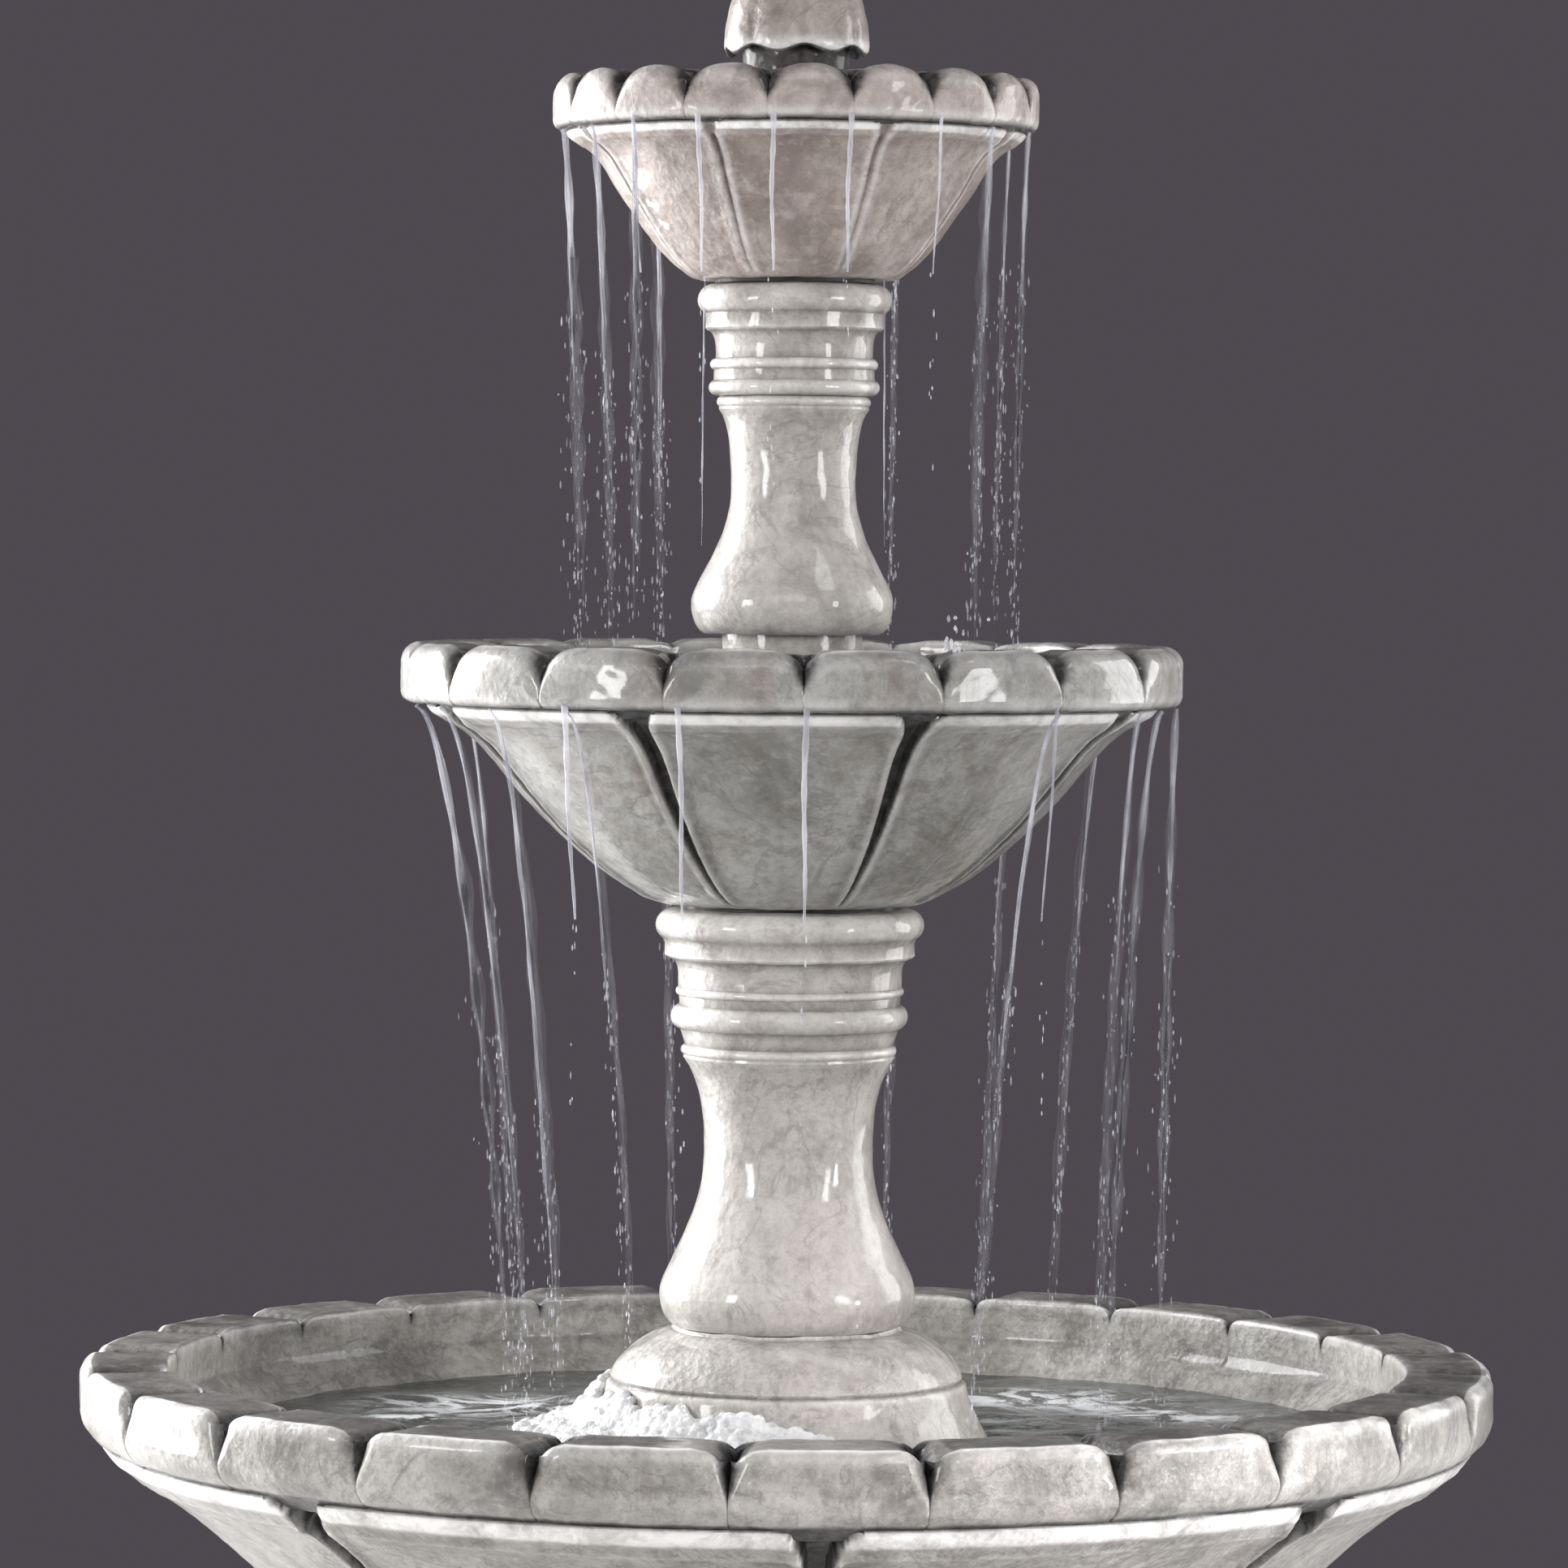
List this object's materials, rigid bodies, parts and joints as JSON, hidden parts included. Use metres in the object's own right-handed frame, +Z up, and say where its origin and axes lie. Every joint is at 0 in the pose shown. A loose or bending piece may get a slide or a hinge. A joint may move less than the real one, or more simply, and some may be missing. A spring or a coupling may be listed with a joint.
{
  "type": "tiered water fountain",
  "caption": "Free-standing tiered garden fountain: scalloped bowls on turned columns over a pump basin and a round pedestal, topped by a bud finial.",
  "frame": {"origin": "on the ground under the middle of the plinth", "axes": "+Z up along the fountain's axis, -Y towards the viewer, +X to the viewer's right"},
  "size_m": [1.1699, 1.17, 1.901],
  "materials": {
    "base_stone": "satin",
    "bowl_stone": "gloss",
    "column_stone": "gloss",
    "top_stone": "gloss",
    "rubber": "matte",
    "pvc": "satin",
    "brass": "satin",
    "vinyl": "gloss",
    "clamp_steel": "satin",
    "pump_plastic": "satin",
    "potting": "gloss",
    "ceramic_shaft": "polished",
    "magnet": "satin",
    "impeller_plastic": "gloss",
    "foam": "matte"
  },
  "bodies": {
    "pedestal": {"base_plinth": "base_stone", "base_pedestal": "base_stone", "lower_gasket": "rubber"},
    "lower_basin": {"lower_bowl": "bowl_stone", "riser_tube": "vinyl", "hose_clamp": "clamp_steel", "clamp_screw": "clamp_steel", "outlet_adapter": "pump_plastic", "pump_housing": "pump_plastic", "pump_stator": "potting", "pump_volute": "pump_plastic", "pump_feet": "rubber", "pump_cord_inlet": "rubber", "pump_shaft": "ceramic_shaft", "rear_bush": "rubber", "front_bush": "rubber"},
    "stopper": {"cord_stopper": "rubber"},
    "rotor": {"rotor_magnet": "magnet", "impeller": "impeller_plastic"},
    "dial": {"flow_dial": "impeller_plastic"},
    "filter": {"filter_cover": "pump_plastic", "filter_foam": "foam"},
    "cover": {"pump_cover": "bowl_stone"},
    "lower_baluster": {"lower_column": "column_stone", "middle_gasket": "rubber"},
    "middle_basin": {"middle_bowl": "bowl_stone", "middle_standpipe": "pvc", "middle_washer": "rubber", "middle_nut": "pvc"},
    "upper_baluster": {"upper_column": "column_stone", "top_gasket": "rubber"},
    "top_basin": {"top_bowl": "top_stone", "top_standpipe": "pvc", "top_washer": "rubber", "top_nut": "pvc", "spray_nozzle": "brass"},
    "bud": {"finial": "top_stone"}
  },
  "joints": [
    {"name": "lower_bowl_lift", "type": "slide", "parent": "pedestal", "child": "lower_basin", "axis": [0, 0, 1], "range_m": [0, 0.1]},
    {"name": "pump_cover_lift", "type": "slide", "parent": "lower_basin", "child": "cover", "axis": [0, 0, 1], "range_m": [0, 0.3]},
    {"name": "lower_column_lift", "type": "slide", "parent": "cover", "child": "lower_baluster", "axis": [0, 0, 1], "range_m": [0, 0.06]},
    {"name": "middle_bowl_lift", "type": "slide", "parent": "lower_baluster", "child": "middle_basin", "axis": [0, 0, 1], "range_m": [0, 0.06]},
    {"name": "upper_column_lift", "type": "slide", "parent": "middle_basin", "child": "upper_baluster", "axis": [0, 0, 1], "range_m": [0, 0.22]},
    {"name": "top_bowl_lift", "type": "slide", "parent": "upper_baluster", "child": "top_basin", "axis": [0, 0, 1], "range_m": [0, 0.06]},
    {"name": "finial_lift", "type": "slide", "parent": "top_basin", "child": "bud", "axis": [0, 0, 1], "range_m": [0, 0.18]},
    {"name": "cord_stopper_pull", "type": "slide", "parent": "lower_basin", "child": "stopper", "axis": [0, 0, 1], "range_m": [0, 0.07]},
    {"name": "filter_cover_slide", "type": "slide", "parent": "lower_basin", "child": "filter", "axis": [-1, 0, 0], "range_m": [0, 0.042]},
    {"name": "pump_rotor_spin", "type": "hinge", "parent": "lower_basin", "child": "rotor", "pos_m": [0, 0, 0.505], "axis": [1, 0, 0], "continuous": true},
    {"name": "flow_dial_turn", "type": "hinge", "parent": "lower_basin", "child": "dial", "pos_m": [-0.021, 0, 0.505], "axis": [1, 0, 0], "range_deg": [0, 60]}
  ]
}
